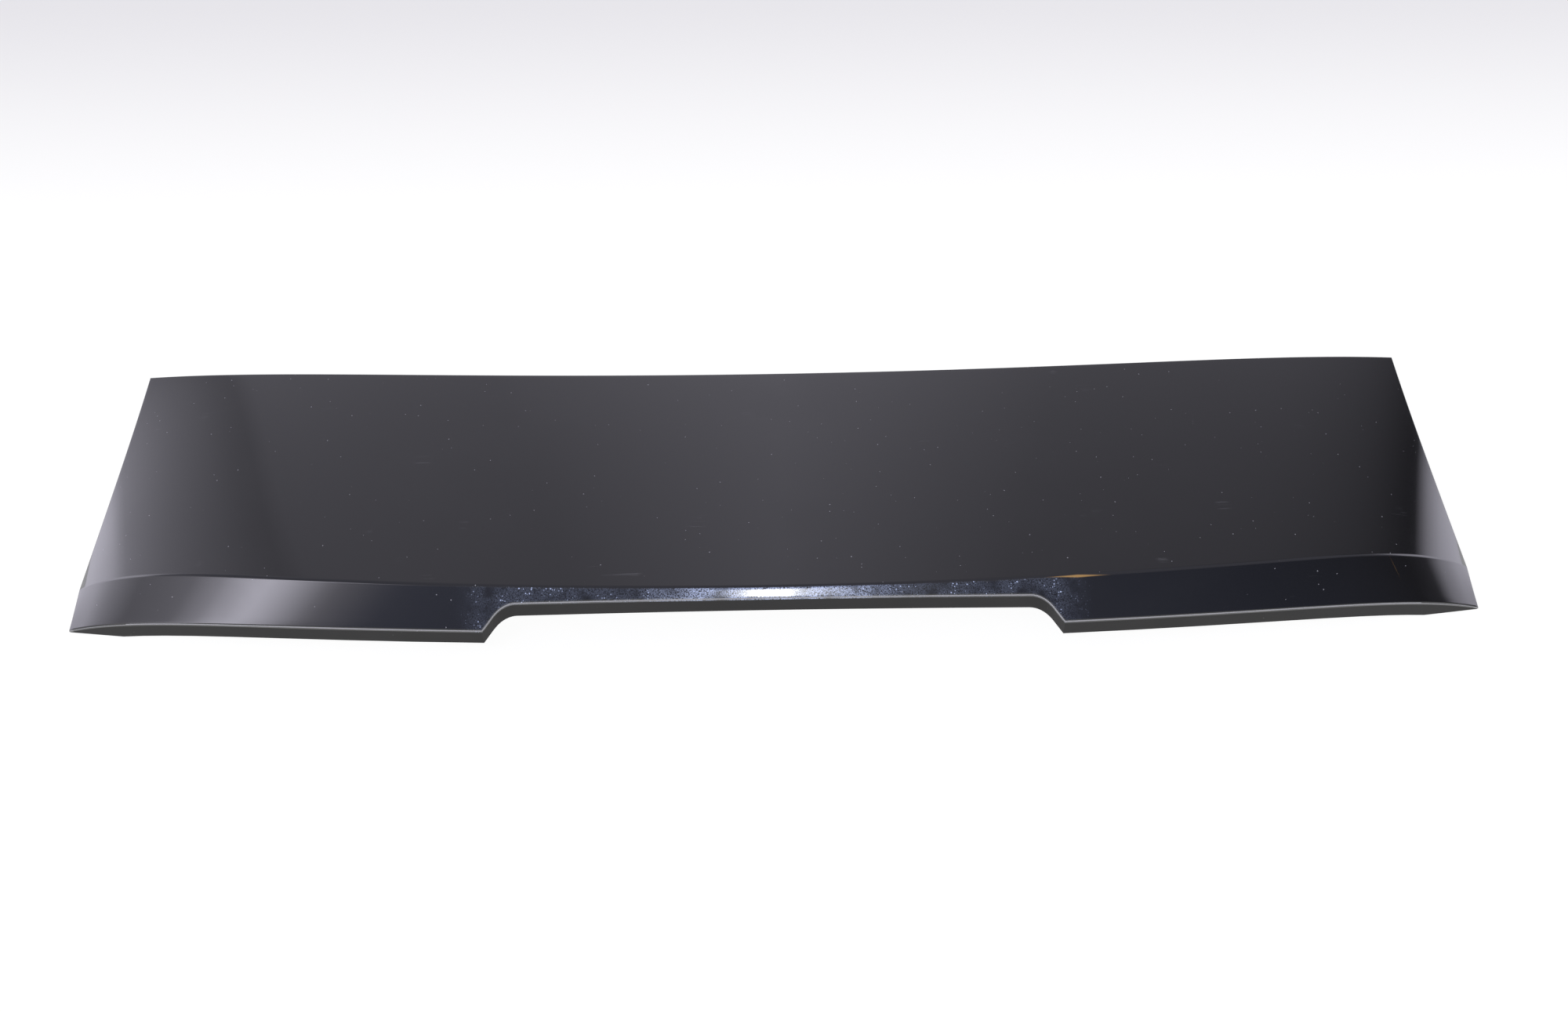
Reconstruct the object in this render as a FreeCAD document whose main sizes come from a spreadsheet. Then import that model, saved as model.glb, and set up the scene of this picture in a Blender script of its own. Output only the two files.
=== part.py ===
"""Tailgate spoiler: one moulded, painted panel with a brake lamp notch, and the fixings under it.

Frame: +X across the car, +Y forwards to the roof, +Z up, millimetres. The part lies on the
lower rim of its two ends, and the origin is under the middle of its box.
"""

import FreeCAD, Part
import math
import os
import Sketcher

V = FreeCAD.Vector

# Driving dimensions, in millimetres

SIZES = {
    # lines of the show surface: places at the middle of the car, bows and falls to the ends
    "half_width": 560.0,
    "side_waist": 4.0,
    "panel_depth": 300.0,
    "lead_bow": 35.5,
    "trail_bow": 36.8,
    "crease_inset": 23.8,
    "crease_bow": 48.5,
    "lead_height": 30.3,
    "crease_height": 54.0,
    "trail_height": 30.8,
    "crown": 11.4,
    "lead_roll": 12.2,
    "crease_roll": 32.6,
    "trail_roll": 16.7,
    "panel_radius": 2600.0,
    "crease_radius": 5.0,
    # depth of the blank below the rest plane, and how far it runs past its outline
    "form_base": 30.0,
    "form_margin": 5.6,
    # moulding walls
    "skin": 3.0,
    "return_wall": 2.6,
    "return_depth": 14.8,
    "edge_radius": 1.0,
    # brake lamp notch in the trailing edge
    "notch_half": 225.8,
    "notch_depth": 18.0,
    "notch_bow": 2.7,
    "notch_run": 15.5,
    "notch_radius": 26.0,
    # stiffening ribs under the skin
    "rib_wall": 1.8,
    "rib_depth": 8.0,
    "rib_rear_inset": 74.7,
    "rib_front_inset": 67.3,
    "rib_lead_inset": 15.3,
    "rib_end_inset": 55.0,
    "rib_inner_x": 75.0,
    "rib_outer_inset": 130.0,
    # plane on which the bosses and clip towers meet the tailgate
    "seat_height": 22.0,
    # steel studs moulded into their bosses
    "stud_end_inset": 180.0,
    "stud_rear_inset": 90.0,
    "stud_pitch": 120.0,
    "stud_boss_dia": 20.0,
    "stud_dia": 6.0,
    "stud_reach": 18.0,
    "stud_chamfer": 0.8,
    "stud_neck_dia": 8.0,
    "stud_head_corners": 14.0,
    "stud_head_thick": 3.0,
    "stud_head_cover": 2.0,
    # foam rings on the studs
    "seal_bore": 9.0,
    "seal_thick": 3.5,
    # locating pins, moulded with the panel where two ribs cross
    "pin_x": 240.0,
    "pin_dia": 8.0,
    "pin_length": 12.0,
    "pin_tip_dia": 4.0,
    "pin_tip": 3.0,
    "pin_boss_dia": 14.0,
    # clip towers
    "tower_front_inset": 41.3,
    "tower_inner_x": 150.0,
    "tower_outer_inset": 230.0,
    "tower_end_inset": 80.0,
    "tower_rear_inset": 108.7,
    "tower_length": 24.0,
    "tower_width": 22.0,
    "tower_wall": 2.0,
    # push clips
    "clip_head_side": 13.0,
    "clip_head_thick": 2.0,
    "clip_neck_dia": 7.0,
    "clip_neck_gap": 0.2,
    "clip_collar_side": 16.0,
    "clip_collar_thick": 1.8,
    "clip_blade_thick": 5.0,
    "clip_waist": 5.4,
    "clip_barb": 10.6,
    "clip_point": 2.4,
    "clip_barb_height": 10.0,
    "clip_step": 1.2,
    "clip_length": 17.0,
}

# Places along the half width where the fore-aft section is drawn, as shares of it
STATIONS = (0.0, 0.2, 0.4, 0.56, 0.68, 0.77, 0.84, 0.89, 0.93, 0.965)

# How sharply each line of the show surface falls away towards the ends
LEAD_POWER = 6
CREASE_POWER = 12
TRAIL_POWER = 12

# A wall of the blank looks up by less than the first, and the show surface by more than the second
WALL_RISE = 0.2
SHOW_RISE = 0.5

# Share of Z in the direction of an edge that counts as upright
UPRIGHT_SHARE = 0.999

# The two sides of the car, with the sign of X
SIDES = (("left", "-"), ("right", ""))

doc = FreeCAD.newDocument("tailgate_spoiler")
sheet = doc.addObject("Spreadsheet::Sheet", "Sizes")
for row, (alias, value) in enumerate(SIZES.items(), start=1):
    sheet.set(f"A{row}", alias)
    sheet.set(f"B{row}", str(value))
    sheet.setAlias(f"B{row}", alias)
doc.recompute()


def cell(alias):
    """The expression that reads one driving dimension."""
    return f"Sizes.{alias}"


def evaluate(expression):
    """The number that an expression on the sheet gives at present."""
    return float(sheet.evalExpression(expression))


# The middle of the trailing edge lies here, so that the part's box is centred on the origin
NOTCH_CORNER = f"({cell('trail_bow')} * ({cell('notch_half')} / {cell('half_width')})^2)"
REAR_Y = f"(-({cell('panel_depth')} + {cell('lead_bow')} + {NOTCH_CORNER}) / 2)"
TIP_Y = f"({REAR_Y} + {cell('trail_bow')})"
LEAD_Y = f"({REAR_Y} + {cell('panel_depth')})"
LEAD_CORNER_Y = f"({LEAD_Y} + {cell('lead_bow')})"
RIB_REAR_Y = f"({REAR_Y} + {cell('rib_rear_inset')})"
RIB_FRONT_Y = f"({LEAD_Y} - {cell('rib_front_inset')})"


# Sketch helpers


def attach(sketch, body, role, offsets):
    """Lays a sketch on one of its body's origin planes, moved by three expressions."""
    plane = next(f for f in body.Origin.OriginFeatures if f.Role == role)
    sketch.AttachmentSupport = [(plane, "")]
    sketch.MapMode = "FlatFace"
    for axis, expression in zip("xyz", offsets):
        sketch.setExpression(f"AttachmentOffset.Base.{axis}", expression)


def bind(sketch, kind, arguments, expression):
    """Adds a dimension to a sketch and ties it to an expression."""
    value = evaluate(expression)
    index = sketch.addConstraint(Sketcher.Constraint(kind, *arguments, value))
    sketch.setExpression(f"Constraints[{index}]", expression)


def hold_point(sketch, geometry, vertex, place):
    """Holds a vertex at two expressions from the sketch's origin; 0 means on that axis."""
    for kind, axis, expression in zip(("DistanceX", "DistanceY"), (-2, -1), place):
        if expression == "0":
            sketch.addConstraint(
                Sketcher.Constraint("PointOnObject", geometry, vertex, axis)
            )
        else:
            bind(sketch, kind, (-1, 1, geometry, vertex), expression)


def trace(sketch, places):
    """Draws a closed polygon whose corners are held at the given expressions."""
    corners = [V(evaluate(a), evaluate(b), 0) for a, b in places]
    lines = []
    for start, end in zip(corners, corners[1:] + corners[:1]):
        lines.append(sketch.addGeometry(Part.LineSegment(start, end)))
    for line, following in zip(lines, lines[1:] + lines[:1]):
        sketch.addConstraint(Sketcher.Constraint("Coincident", line, 2, following, 1))
    for line, place in zip(lines, places):
        hold_point(sketch, line, 1, place)


def new_body(name):
    """An empty body of the document."""
    return doc.addObject("PartDesign::Body", name)


# Solid helpers


def box(name, low, high):
    """A box between two corners given as expressions."""
    made = doc.addObject("Part::Box", name)
    for side, axis, start, end in zip(("Length", "Width", "Height"), "xyz", low, high):
        made.setExpression(side, f"({end}) - ({start})")
        made.setExpression(f"Placement.Base.{axis}", start)
    return made


def upright(name, dia, place, bottom, height):
    """A cylinder along Z, from its bottom upwards."""
    made = doc.addObject("Part::Cylinder", name)
    made.setExpression("Radius", f"({dia}) / 2")
    made.setExpression("Height", height)
    for axis, expression in zip("xyz", (*place, bottom)):
        made.setExpression(f"Placement.Base.{axis}", expression)
    return made


def fuse(name, shapes):
    """One solid of several."""
    made = doc.addObject("Part::MultiFuse", name)
    made.Shapes = shapes
    return made


def cut(name, base, tool):
    """A base less a tool."""
    made = doc.addObject("Part::Cut", name)
    made.Base, made.Tool = base, tool
    return made


def common(name, base, tool):
    """What two solids share."""
    made = doc.addObject("Part::Common", name)
    made.Base, made.Tool = base, tool
    return made


def placed(name, source, place):
    """A copy of a solid, moved by three expressions."""
    made = doc.addObject("Part::Compound", name)
    made.Links = [source]
    for axis, expression in zip("xyz", place):
        made.setExpression(f"Placement.Base.{axis}", expression)
    return made


# Show surface: three lines run across the car, and each fore-aft section joins them


def line_point(start, bow, height, roll, power, share):
    """A point of one line at a station: (distance ahead of the rear, height)."""
    ahead = f"({start} + {bow} * {share**2:.8f})"
    up = f"({height} - {cell('crown')} * {share**2:.8f} - {roll} * {share**power:.8f})"
    return ahead, up


def section_corners(share, inside):
    """Lead, crease and trail corners of one section, on the show side or inside the walls."""
    lead = line_point(
        cell("panel_depth"), cell("lead_bow"),
        cell("lead_height"), cell("lead_roll"), LEAD_POWER, share,
    )
    crease = line_point(
        cell("crease_inset"), cell("crease_bow"),
        cell("crease_height"), cell("crease_roll"), CREASE_POWER, share,
    )
    trail = line_point(
        "0", cell("trail_bow"),
        cell("trail_height"), cell("trail_roll"), TRAIL_POWER, share,
    )
    if not inside:
        return lead, crease, trail
    # The crease moves along the bisector, so the panel and the band keep one thickness
    skin = cell("skin")
    wall = cell("return_wall")
    band_rise = f"(({crease[1]} - {trail[1]}) / ({crease[0]} - {trail[0]}))"
    shift = f"({skin} * tan(atan({band_rise}) / 2))"
    inner_trail_up = f"({trail[1]} - {skin} + ({wall} - {shift}) * {band_rise})"
    return (
        (f"({lead[0]} - {wall})", f"({lead[1]} - {skin})"),
        (f"({crease[0]} + {shift})", f"({crease[1]} - {skin})"),
        (f"({trail[0]} + {wall})", inner_trail_up),
    )


def crowned_arc(right, left, radius):
    """An arc over the top from a right-hand point to a left-hand one."""
    chord = left - right
    rise = radius - math.sqrt(radius**2 - (chord.Length / 2) ** 2)
    outward = V(chord.y, -chord.x, 0).normalize()
    return Part.Arc(right, (right + left) * 0.5 + outward * rise, left)


def draw_section(body, name, share, station_x, inside):
    """Sketches one closed fore-aft section: panel arc, crease bend, band and the blank's walls."""
    sketch = body.newObject("Sketcher::SketchObject", name)
    attach(sketch, body, "YZ_Plane", (REAR_Y, f"-{cell('form_base')}", station_x))
    lead, crease, trail = [
        (ahead, f"({up} + {cell('form_base')})")
        for ahead, up in section_corners(share, inside)
    ]
    lead_at, crease_at, trail_at = [
        V(evaluate(a), evaluate(b), 0) for a, b in (lead, crease, trail)
    ]
    lead_foot = V(lead_at.x, 0, 0)
    trail_foot = V(trail_at.x, 0, 0)

    # The bend is first drawn as if the panel were straight, and the constraints settle it
    bend_radius = evaluate(cell("crease_radius"))
    to_lead = (lead_at - crease_at).normalize()
    to_trail = (trail_at - crease_at).normalize()
    half_corner = to_lead.getAngle(to_trail) / 2
    panel_end = crease_at + to_lead * (bend_radius / math.tan(half_corner))
    band_end = crease_at + to_trail * (bend_radius / math.tan(half_corner))

    panel = sketch.addGeometry(
        crowned_arc(lead_at, panel_end, evaluate(cell("panel_radius")))
    )
    bend = sketch.addGeometry(crowned_arc(panel_end, band_end, bend_radius))
    band = sketch.addGeometry(Part.LineSegment(band_end, trail_at))
    rear = sketch.addGeometry(Part.LineSegment(trail_at, trail_foot))
    foot = sketch.addGeometry(Part.LineSegment(trail_foot, lead_foot))
    front = sketch.addGeometry(Part.LineSegment(lead_foot, lead_at))
    corner = sketch.addGeometry(Part.Point(crease_at), True)

    for constraint in (
        ("Tangent", panel, 2, bend, 1),
        ("Tangent", bend, 2, band, 1),
        ("Coincident", band, 2, rear, 1),
        ("Coincident", rear, 2, foot, 1),
        ("Coincident", foot, 2, front, 1),
        ("Coincident", front, 2, panel, 1),
        ("Vertical", rear),
        ("Vertical", front),
        ("PointOnObject", foot, 1, -1),
        ("PointOnObject", foot, 2, -1),
        ("PointOnObject", corner, 1, panel),
        ("PointOnObject", corner, 1, band),
    ):
        sketch.addConstraint(Sketcher.Constraint(*constraint))
    hold_point(sketch, panel, 1, lead)
    hold_point(sketch, band, 2, trail)
    hold_point(sketch, corner, 1, crease)
    bind(sketch, "Radius", (panel,), cell("panel_radius"))
    bind(sketch, "Radius", (bend,), cell("crease_radius"))
    return sketch


def loft_form(name, inside):
    """The blank under the show surface, or the hollow inside it, lofted from end to end."""
    body = new_body(name)
    end_share = evaluate(f"1 + {cell('form_margin')} / {cell('half_width')}")
    end_x = f"({cell('half_width')} + {cell('form_margin')})"
    half = [(share, f"({cell('half_width')} * {share})") for share in STATIONS[1:]]
    half.append((end_share, end_x))
    stations = [(share, f"-{place}") for share, place in reversed(half)]
    stations.append((STATIONS[0], "0"))
    stations.extend(half)
    sections = [
        draw_section(body, f"{name}_section_{index}", share, place, inside)
        for index, (share, place) in enumerate(stations)
    ]
    loft = body.newObject("PartDesign::AdditiveLoft", f"{name}_loft")
    loft.Profile = sections[0]
    loft.Sections = sections[1:]
    return body


def is_upright(edge):
    """Whether an edge is a straight line along Z."""
    if not isinstance(edge.Curve, Part.Line):
        return False
    return abs(edge.Curve.Direction.z) > UPRIGHT_SHARE


def end_cutters(name, wall):
    """Two upright drums whose sides are the part's waisted ends, moved in by a wall."""
    half_length = f"(({LEAD_CORNER_Y} - {TIP_Y}) / 2)"
    waist = cell("side_waist")
    radius = f"(({half_length}^2 + {waist}^2) / (2 * {waist}))"
    middle_y = f"(({LEAD_CORNER_Y} + {TIP_Y}) / 2)"
    reach = f"({cell('half_width')} - {waist} + {radius})"
    drums = [
        upright(
            f"{name}_{side}",
            f"2 * ({radius} + {wall})",
            (f"{sign}{reach}", middle_y),
            f"-2 * {cell('form_base')}",
            f"{cell('crease_height')} + 3 * {cell('form_base')}",
        )
        for side, sign in SIDES
    ]
    return fuse(name, drums)


def notch_block(name, wall):
    """An upright block that fills the brake lamp notch, grown by a wall on every side."""
    body = new_body(name)
    sketch = body.newObject("Sketcher::SketchObject", f"{name}_plan")
    mouth = f"({cell('notch_half')} + {wall})"
    attach(
        sketch, body, "XY_Plane",
        (f"-2 * {mouth}", f"{REAR_Y} - {cell('form_base')}", f"-{cell('form_base')}"),
    )
    depth = f"({cell('notch_depth')} + {cell('notch_bow')} + {wall} + {cell('form_base')})"
    corner_y = f"({NOTCH_CORNER} + {cell('form_base')})"
    inner = f"({mouth} - {cell('notch_run')})"
    places = {
        "inner_left": (f"(2 * {mouth} - {inner})", depth),
        "inner_right": (f"(2 * {mouth} + {inner})", depth),
        "mouth_right": (f"(3 * {mouth})", corner_y),
        "mouth_left": (f"({mouth})", corner_y),
    }
    at = {key: V(evaluate(a), evaluate(b), 0) for key, (a, b) in places.items()}
    slope = (at["inner_left"].y - at["mouth_left"].y) / (
        at["inner_left"].x - at["mouth_left"].x
    )
    flare = at["mouth_left"].y / slope
    foot_left = V(at["mouth_left"].x - flare, 0, 0)
    foot_right = V(at["mouth_right"].x + flare, 0, 0)
    left = sketch.addGeometry(Part.LineSegment(foot_left, at["inner_left"]))
    middle = (at["inner_left"] + at["inner_right"]) * 0.5
    bow = V(0, evaluate(cell("notch_bow")), 0)
    inner_edge = sketch.addGeometry(
        Part.Arc(at["inner_left"], middle - bow, at["inner_right"])
    )
    right = sketch.addGeometry(Part.LineSegment(at["inner_right"], foot_right))
    foot = sketch.addGeometry(Part.LineSegment(foot_right, foot_left))
    crown = sketch.addGeometry(Part.Point(middle - bow), True)
    mouth_left = sketch.addGeometry(Part.Point(at["mouth_left"]), True)
    mouth_right = sketch.addGeometry(Part.Point(at["mouth_right"]), True)
    for constraint in (
        ("Coincident", left, 2, inner_edge, 1),
        ("Coincident", inner_edge, 2, right, 1),
        ("Coincident", right, 2, foot, 1),
        ("Coincident", foot, 2, left, 1),
        ("PointOnObject", foot, 1, -1),
        ("PointOnObject", foot, 2, -1),
        ("PointOnObject", mouth_left, 1, left),
        ("PointOnObject", mouth_right, 1, right),
        ("PointOnObject", crown, 1, inner_edge),
    ):
        sketch.addConstraint(Sketcher.Constraint(*constraint))
    hold_point(sketch, left, 2, places["inner_left"])
    hold_point(sketch, right, 1, places["inner_right"])
    hold_point(sketch, mouth_left, 1, places["mouth_left"])
    hold_point(sketch, mouth_right, 1, places["mouth_right"])
    hold_point(
        sketch, crown, 1,
        (f"(2 * {mouth})", f"({depth} - {cell('notch_bow')})"),
    )
    pad = body.newObject("PartDesign::Pad", f"{name}_pad")
    pad.Profile = sketch
    pad.setExpression("Length", f"{cell('crease_height')} + 2 * {cell('form_base')}")
    doc.recompute()
    edges = [
        f"Edge{index}"
        for index, edge in enumerate(pad.Shape.Edges, start=1)
        if is_upright(edge) and edge.CenterOfMass.y > evaluate(f"{REAR_Y} + {NOTCH_CORNER}")
    ]
    rounding = body.newObject("PartDesign::Fillet", f"{name}_rounding")
    rounding.Base = (pad, edges)
    rounding.setExpression("Radius", f"{cell('notch_radius')} + {wall}")
    return body


def face_rise(face):
    """How far a face looks upwards at its middle, from -1 to 1."""
    first, last, low, high = face.ParameterRange
    return face.normalAt((first + last) / 2, (low + high) / 2).z


def rounded_rim(name, source):
    """A solid with its upper rim rounded, where the show surface meets the upright walls."""
    doc.recompute()
    radius = evaluate(cell("edge_radius"))
    rim = []
    for index, edge in enumerate(source.Shape.Edges, start=1):
        rises = sorted(face_rise(f) for f in source.Shape.ancestorsOfType(edge, Part.Face))
        if len(rises) == 2 and abs(rises[0]) < WALL_RISE and rises[1] > SHOW_RISE:
            rim.append((index, radius, radius))
    made = doc.addObject("Part::Fillet", name)
    made.Base = source
    made.Edges = rim
    return made


# Panel: the blank, its hollow and the return flange

form = loft_form("show_form", inside=False)
hollow_form = loft_form("hollow_form", inside=True)
doc.recompute()

blank = cut("blank_ends", form, end_cutters("end_drums", "0"))
blank_notched = cut("blank_notched", blank, notch_block("lamp_notch", "0"))
hollow = cut("hollow_ends", hollow_form, end_cutters("hollow_drums", cell("return_wall")))
hollow_notched = cut(
    "hollow_notched", hollow, notch_block("lamp_notch_wall", cell("return_wall"))
)
shell = cut("shell", rounded_rim("blank_rounded", blank_notched), hollow_notched)
flange_limit = placed("flange_limit", form, ("0", "0", f"-{cell('return_depth')}"))
flanged = cut("flanged_shell", shell, flange_limit)

# What stands under the skin is rooted in the middle of it
root_form = placed("root_form", form, ("0", "0", f"-{cell('skin')} / 2"))

SEAT = cell("seat_height")
TOP = f"({cell('crease_height')} + {cell('form_base')})"


def ribs():
    """Two ribs across the car and six along it, of one depth under the skin."""
    half_wall = f"{cell('rib_wall')} / 2"
    span = f"({cell('half_width')} - {cell('rib_end_inset')})"
    outer = f"({cell('half_width')} - {cell('rib_outer_inset')})"
    along = {"inner": cell("rib_inner_x"), "pin": cell("pin_x"), "outer": outer}
    walls = []
    for name, place in (("rear", RIB_REAR_Y), ("front", RIB_FRONT_Y)):
        low = (f"-{span}", f"{place} - {half_wall}", "0")
        high = (span, f"{place} + {half_wall}", TOP)
        walls.append(box(f"rib_{name}", low, high))
    for name, distance in along.items():
        for side, sign in SIDES:
            place = f"{sign}{distance}"
            low = (f"{place} - {half_wall}", RIB_REAR_Y, "0")
            high = (f"{place} + {half_wall}", f"{LEAD_Y} - {cell('rib_lead_inset')}", TOP)
            walls.append(box(f"rib_{name}_{side}", low, high))
    lower = placed("rib_limit", form, ("0", "0", f"-({cell('skin')} + {cell('rib_depth')})"))
    return cut("ribs", common("rib_tops", fuse("rib_walls", walls), root_form), lower)


def stud_places():
    """Names and places of the four studs, on a rectangle."""
    x = f"({cell('half_width')} - {cell('stud_end_inset')})"
    rear = f"({REAR_Y} + {cell('stud_rear_inset')})"
    front = f"({rear} + {cell('stud_pitch')})"
    for side, sign in SIDES:
        yield f"rear_{side}", (f"{sign}{x}", rear)
        yield f"front_{side}", (f"{sign}{x}", front)


def pin_places():
    """Names and places of the two locating pins."""
    for side, sign in SIDES:
        yield side, (f"{sign}{cell('pin_x')}", RIB_FRONT_Y)


def tower_places():
    """Names and places of the six clip towers."""
    front = f"({LEAD_Y} - {cell('tower_front_inset')})"
    rear = f"({REAR_Y} + {cell('tower_rear_inset')})"
    outer = f"({cell('half_width')} - {cell('tower_outer_inset')})"
    end = f"({cell('half_width')} - {cell('tower_end_inset')})"
    for side, sign in SIDES:
        yield f"inner_{side}", (f"{sign}{cell('tower_inner_x')}", front)
        yield f"outer_{side}", (f"{sign}{outer}", front)
        yield f"rear_{side}", (f"{sign}{end}", rear)


def bosses():
    """Round bosses that carry the studs and the pins, from the seat plane to the skin."""
    posts = [
        upright(f"stud_boss_{name}", cell("stud_boss_dia"), place, SEAT, TOP)
        for name, place in stud_places()
    ]
    posts += [
        upright(f"pin_boss_{name}", cell("pin_boss_dia"), place, SEAT, TOP)
        for name, place in pin_places()
    ]
    return common("bosses", fuse("boss_posts", posts), root_form)


def pins():
    """Locating pins below their bosses, each with a cone for a lead-in."""
    made = []
    for name, place in pin_places():
        foot = f"{SEAT} - {cell('pin_length')}"
        made.append(
            upright(f"pin_{name}", cell("pin_dia"), place, foot, cell("pin_length"))
        )
        tip = doc.addObject("Part::Cone", f"pin_tip_{name}")
        tip.setExpression("Radius1", f"{cell('pin_tip_dia')} / 2")
        tip.setExpression("Radius2", f"{cell('pin_dia')} / 2")
        tip.setExpression("Height", cell("pin_tip"))
        for axis, expression in zip("xyz", (*place, f"{foot} - {cell('pin_tip')}")):
            tip.setExpression(f"Placement.Base.{axis}", expression)
        made.append(tip)
    return made


def tower(name, place):
    """A clip tower: two cheeks, a back and a slotted floor, open to the rear."""
    x, y = place
    half_length = f"{cell('tower_length')} / 2"
    half_width = f"{cell('tower_width')} / 2"
    wall = cell("tower_wall")
    left, right = f"({x} - {half_length})", f"({x} + {half_length})"
    rear, front = f"({y} - {half_width})", f"({y} + {half_width})"
    walls = [
        box(f"{name}_cheek_left", (left, rear, SEAT), (f"{left} + {wall}", front, TOP)),
        box(f"{name}_cheek_right", (f"{right} - {wall}", rear, SEAT), (right, front, TOP)),
        box(f"{name}_back", (left, f"{front} - {wall}", SEAT), (right, front, TOP)),
        box(f"{name}_floor", (left, rear, SEAT), (right, front, f"{SEAT} + {wall}")),
    ]
    slot = f"({cell('clip_neck_dia')} / 2 + {cell('clip_neck_gap')})"
    seat = upright(
        f"{name}_seat", f"2 * {slot}", place, f"{SEAT} - {wall}", f"3 * {wall}"
    )
    mouth = box(
        f"{name}_mouth",
        (f"{x} - {slot}", f"{rear} - {wall}", f"{SEAT} - {wall}"),
        (f"{x} + {slot}", y, f"{SEAT} + 2 * {wall}"),
    )
    return cut(name, fuse(f"{name}_walls", walls), fuse(f"{name}_keyhole", [seat, mouth]))


def revolved(name, profile):
    """A turned piece from its half profile, with its foot at the origin."""
    body = new_body(name)
    sketch = body.newObject("Sketcher::SketchObject", f"{name}_profile")
    attach(sketch, body, "XZ_Plane", ("0", "0", "0"))
    trace(sketch, profile)
    turn = body.newObject("PartDesign::Revolution", f"{name}_turn")
    turn.Profile = sketch
    turn.ReferenceAxis = (sketch, ["V_Axis"])
    turn.Angle = 360.0
    return body


def stud():
    """A steel stud: threaded shank below the seat plane, neck and hexagon head moulded in."""
    shank = f"({cell('stud_dia')} / 2)"
    chamfer = cell("stud_chamfer")
    neck = f"({cell('stud_neck_dia')} / 2)"
    reach = cell("stud_reach")
    head_foot = f"({reach} + {cell('stud_head_cover')})"
    turned = revolved(
        "stud_shank",
        (
            ("0", "0"), (f"({shank} - {chamfer})", "0"), (shank, chamfer), (shank, reach),
            (neck, reach), (neck, head_foot), ("0", head_foot),
        ),
    )
    head = doc.addObject("Part::Prism", "stud_head")
    head.Polygon = 6
    head.setExpression("Circumradius", f"{cell('stud_head_corners')} / 2")
    head.setExpression("Height", cell("stud_head_thick"))
    head.setExpression("Placement.Base.z", head_foot)
    return fuse("stud", [turned, head])


def clip():
    """A push clip: barbed blade, square collar under the tower's floor and square head above it.

    Its origin is at the top of the collar, on the plane where it meets the tower.
    """
    collar_foot = f"-{cell('clip_collar_thick')}"
    collar_half = f"{cell('clip_collar_side')} / 2"
    head_foot = cell("tower_wall")
    head_top = f"{head_foot} + {cell('clip_head_thick')}"
    head_half = f"{cell('clip_head_side')} / 2"
    plates = [
        box(
            "clip_collar",
            (f"-{collar_half}", f"-{collar_half}", collar_foot), (collar_half, collar_half, "0"),
        ),
        upright("clip_neck", cell("clip_neck_dia"), ("0", "0"), "0", head_foot),
        box(
            "clip_head",
            (f"-{head_half}", f"-{head_half}", head_foot), (head_half, head_half, head_top),
        ),
    ]
    blade = new_body("clip_blade")
    sketch = blade.newObject("Sketcher::SketchObject", "clip_blade_outline")
    half_thick = f"{cell('clip_blade_thick')} / 2"
    length = cell("clip_length")
    foot = f"{collar_foot} - {length}"
    attach(sketch, blade, "XZ_Plane", (f"-{cell('clip_barb')}", foot, f"-{half_thick}"))
    barb_foot = f"({length} - {cell('clip_barb_height')})"
    half_outline = (
        ("clip_point", "0"),
        ("clip_barb", barb_foot),
        ("clip_barb", f"({barb_foot} + {cell('clip_step')})"),
        ("clip_waist", f"({barb_foot} + 2 * {cell('clip_step')})"),
        ("clip_waist", length),
    )
    right = [(f"({cell('clip_barb')} + {cell(wide)} / 2)", up) for wide, up in half_outline]
    left = [(f"({cell('clip_barb')} - {cell(wide)} / 2)", up) for wide, up in half_outline]
    trace(sketch, [*right, *reversed(left)])
    pad = blade.newObject("PartDesign::Pad", "clip_blade_pad")
    pad.Profile = sketch
    pad.setExpression("Length", cell("clip_blade_thick"))
    return fuse("clip", [*plates, blade])


def group(name, source, places, foot):
    """Copies of one piece at several places, as one node of separate solids."""
    copies = [
        placed(f"{name}_{place_name}", source, (*place, foot))
        for place_name, place in places
    ]
    made = doc.addObject("Part::Compound", name)
    made.Links = copies
    return made


# Fixings

studs = group("mounting_studs", stud(), stud_places(), f"{SEAT} - {cell('stud_reach')}")
clips = group("push_clips", clip(), tower_places(), SEAT)
seal_foot = f"-{cell('seal_thick')}"
seal = cut(
    "seal",
    upright("seal_disc", cell("stud_boss_dia"), ("0", "0"), seal_foot, cell("seal_thick")),
    upright("seal_hole", cell("seal_bore"), ("0", "0"), f"2 * {seal_foot}", f"-3 * {seal_foot}"),
)
seals = group("stud_seals", seal, stud_places(), SEAT)

# Panel with everything that is moulded on its underside

towers = [tower(f"tower_{name}", place) for name, place in tower_places()]
rooted_towers = common("rooted_towers", fuse("towers", towers), root_form)
moulded = fuse("moulded", [flanged, ribs(), bosses(), rooted_towers, *pins()])
below = box(
    "below_rest_plane",
    (f"-2 * {cell('half_width')}", f"2 * {REAR_Y}", f"-2 * {cell('form_base')}"),
    (f"2 * {cell('half_width')}", f"-2 * {REAR_Y}", "0"),
)
trimmed = cut("trimmed", moulded, below)
panel = cut("spoiler_panel", trimmed, studs)
doc.recompute()

# Check and write

NODES = (panel, studs, seals, clips)
failed = [o.Name for o in doc.Objects if {"Invalid", "Error"} & set(o.State)]
if failed:
    raise RuntimeError(f"objects failed: {failed}")
os.makedirs("parts", exist_ok=True)
for node in NODES:
    if node.Shape.isNull() or not node.Shape.isValid():
        raise RuntimeError(f"{node.Label} has no valid shape")
for node in NODES:
    node.Shape.exportStep(f"parts/{node.Label}.step")
    print(node.Label, len(node.Shape.Solids), "solids", round(node.Shape.Volume), "mm3")
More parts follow.
